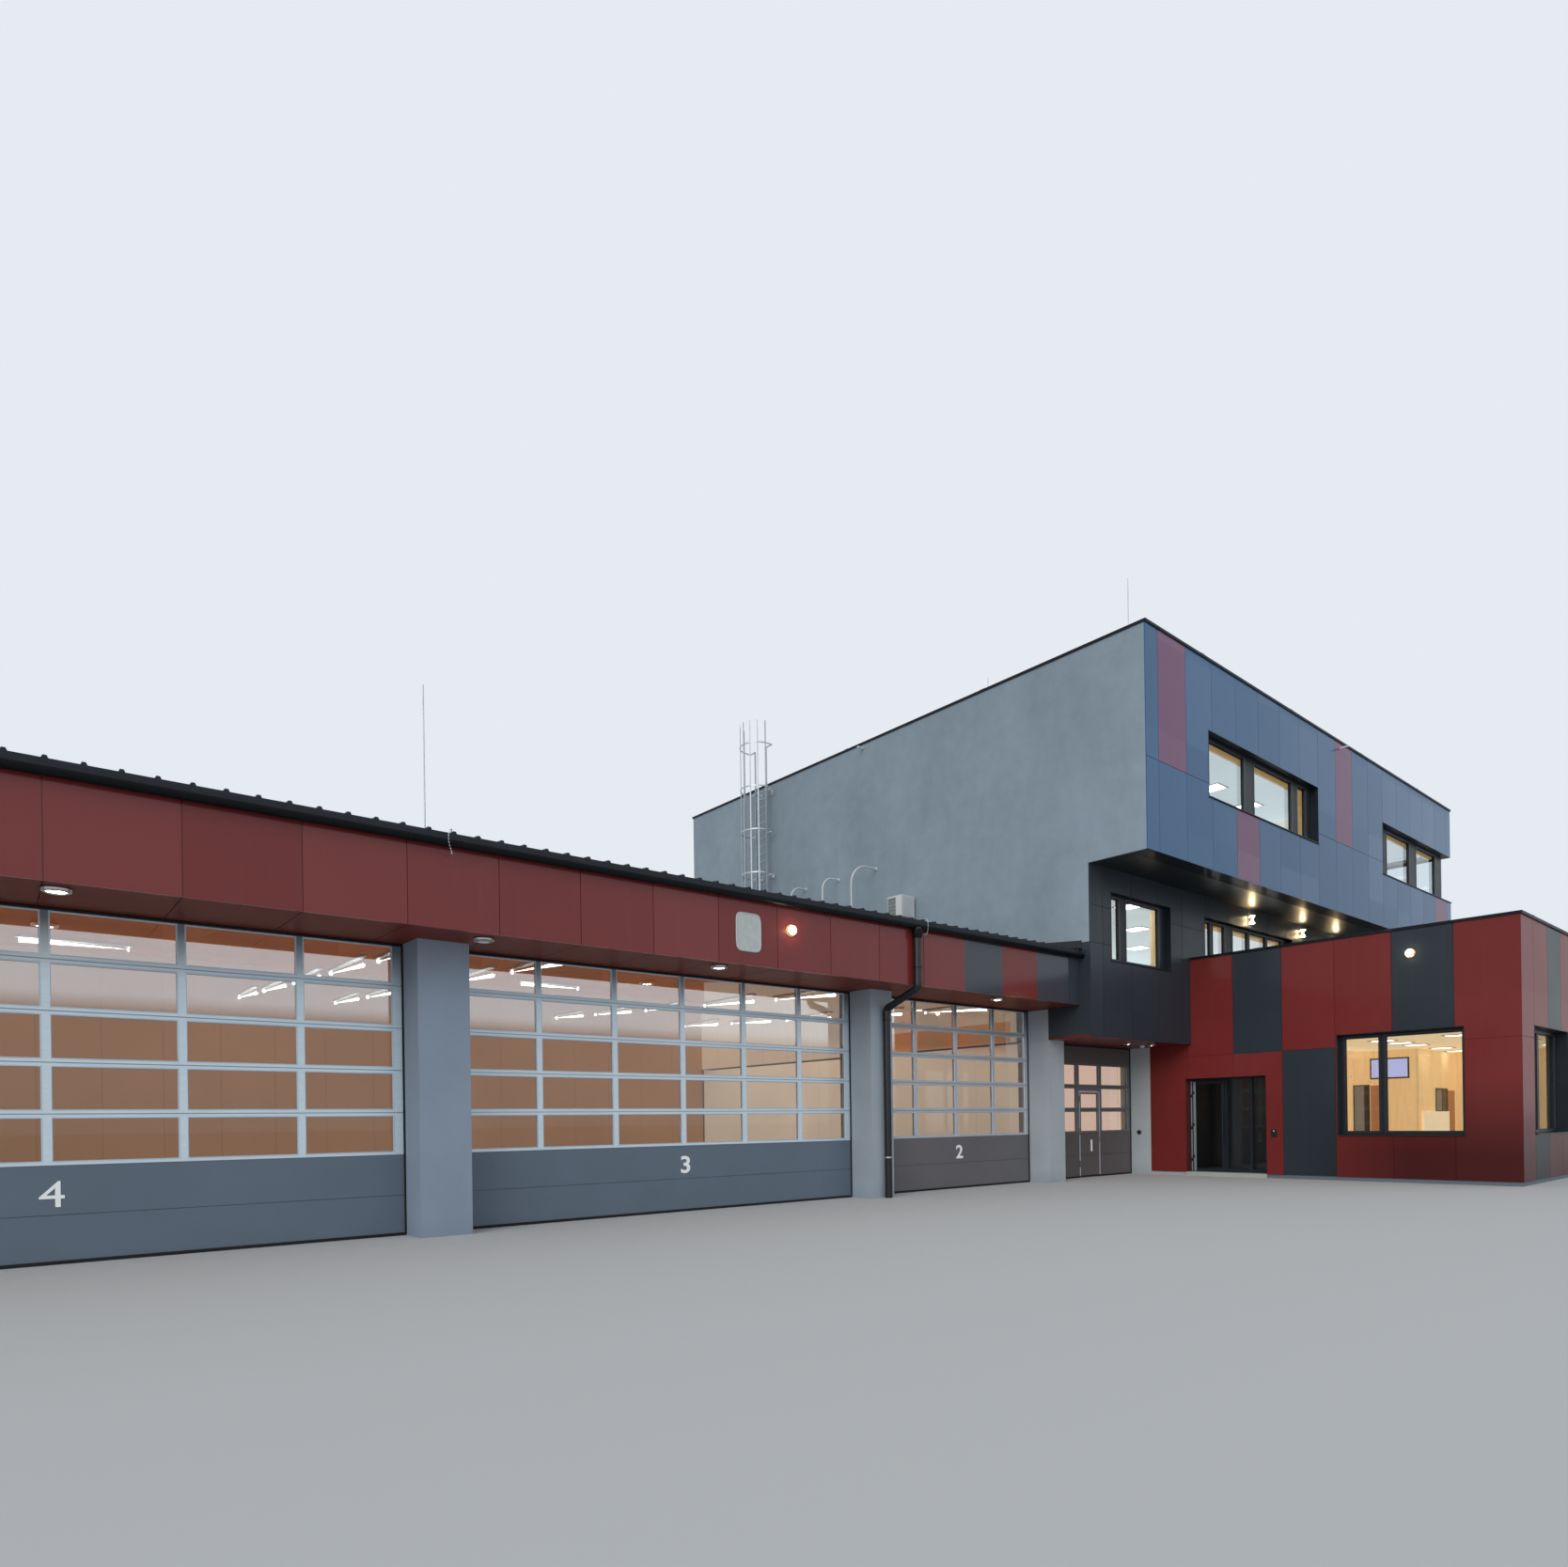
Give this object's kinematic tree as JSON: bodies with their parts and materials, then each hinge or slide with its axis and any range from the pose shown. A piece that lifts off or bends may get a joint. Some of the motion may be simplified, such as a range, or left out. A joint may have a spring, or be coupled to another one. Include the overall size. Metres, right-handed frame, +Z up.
{
  "type": "fire station building, 1:2 scale model",
  "caption": "Fire station with a low vehicle hall and glazed bay doors, a taller clad tower beside it, a low entry block, a wicket and an entrance leaf that open.",
  "frame": {"origin": "centre of the bounding box, on the underside that rests on the ground", "axes": "+X along the front towards the tower, +Y to the back, +Z up"},
  "size_m": [22.66, 11.496, 7.15],
  "materials": {
    "concrete": "fair-faced concrete, matt",
    "screed": "dark grey floor, matt",
    "red_panel": "deep red cladding panel, satin",
    "dark_panel": "anthracite cladding panel, satin",
    "dark_metal": "anthracite paint, satin",
    "door_grey": "dark grey coated door section, satin",
    "roof_metal": "dark grey ribbed sheet, satin",
    "glass": "clear glazing",
    "galvanised": "galvanised steel, dull",
    "steel": "brushed stainless steel",
    "timber": "planed laminated timber",
    "render_grey": "grey render, matt",
    "white_case": "off-white coated sheet, satin"
  },
  "bodies": {
    "building": {"hall_floor": "screed", "hall_left_wall": "render_grey", "hall_back_wall": "render_grey", "end_pillar": "concrete", "pillar_a": "concrete", "pillar_b": "concrete", "pillar_c": "concrete", "pillar_d": "concrete", "door_header": "concrete", "canopy": "red_panel", "fascia_red": "red_panel", "fascia_dark": "dark_panel", "hall_roof": "roof_metal", "gutter": "dark_metal", "downpipe": "dark_metal", "bay_door_4": "door_grey", "bay_door_3": "door_grey", "bay_door_2": "door_grey", "bay_door_1_sides": "door_grey", "bay_door_1_head": "door_grey", "bay_door_glass": "glass", "roof_beams": "timber", "office_floor": "screed", "tower_left_wall": "render_grey", "tower_right_wall": "render_grey", "tower_back_wall": "render_grey", "lower_front_wall": "concrete", "upper_front_wall": "concrete", "first_floor": "screed", "second_floor": "screed", "tower_roof": "roof_metal", "tower_coping": "dark_metal", "upper_soffit": "dark_panel", "lower_soffit": "red_panel", "upper_cladding_dark": "dark_panel", "upper_cladding_red": "red_panel", "lower_cladding": "dark_panel", "block_side_wall_front": "concrete", "block_side_wall_head": "concrete", "block_front_wall": "concrete", "block_right_wall": "concrete", "block_roof": "roof_metal", "block_coping": "dark_metal", "block_cladding_red": "red_panel", "block_cladding_dark": "dark_panel", "window_frames": "dark_metal", "window_glass": "glass", "entrance_frame": "dark_metal", "entrance_step": "concrete", "roof_ladder": "galvanised", "ladder_cage": "galvanised", "outdoor_unit": "white_case", "wall_pipes": "white_case", "lightning_rods": "steel"},
    "wicket": {"wicket_leaf": "door_grey", "wicket_glass": "glass", "wicket_handle": "steel"},
    "entrance_door": {"entrance_leaf": "dark_metal", "entrance_leaf_glass": "glass", "entrance_handle": "steel"}
  },
  "joints": [
    {"name": "wicket_hinge", "type": "hinge", "parent": "building", "child": "wicket", "pos_m": [1.844, -1.3355, 0.56], "axis": [0, 0, -1], "range_deg": [0, 90]},
    {"name": "entrance_hinge", "type": "hinge", "parent": "building", "child": "entrance_door", "pos_m": [3.229, -2.15, 0.6], "axis": [0, 0, -1], "range_deg": [0, 90]}
  ]
}
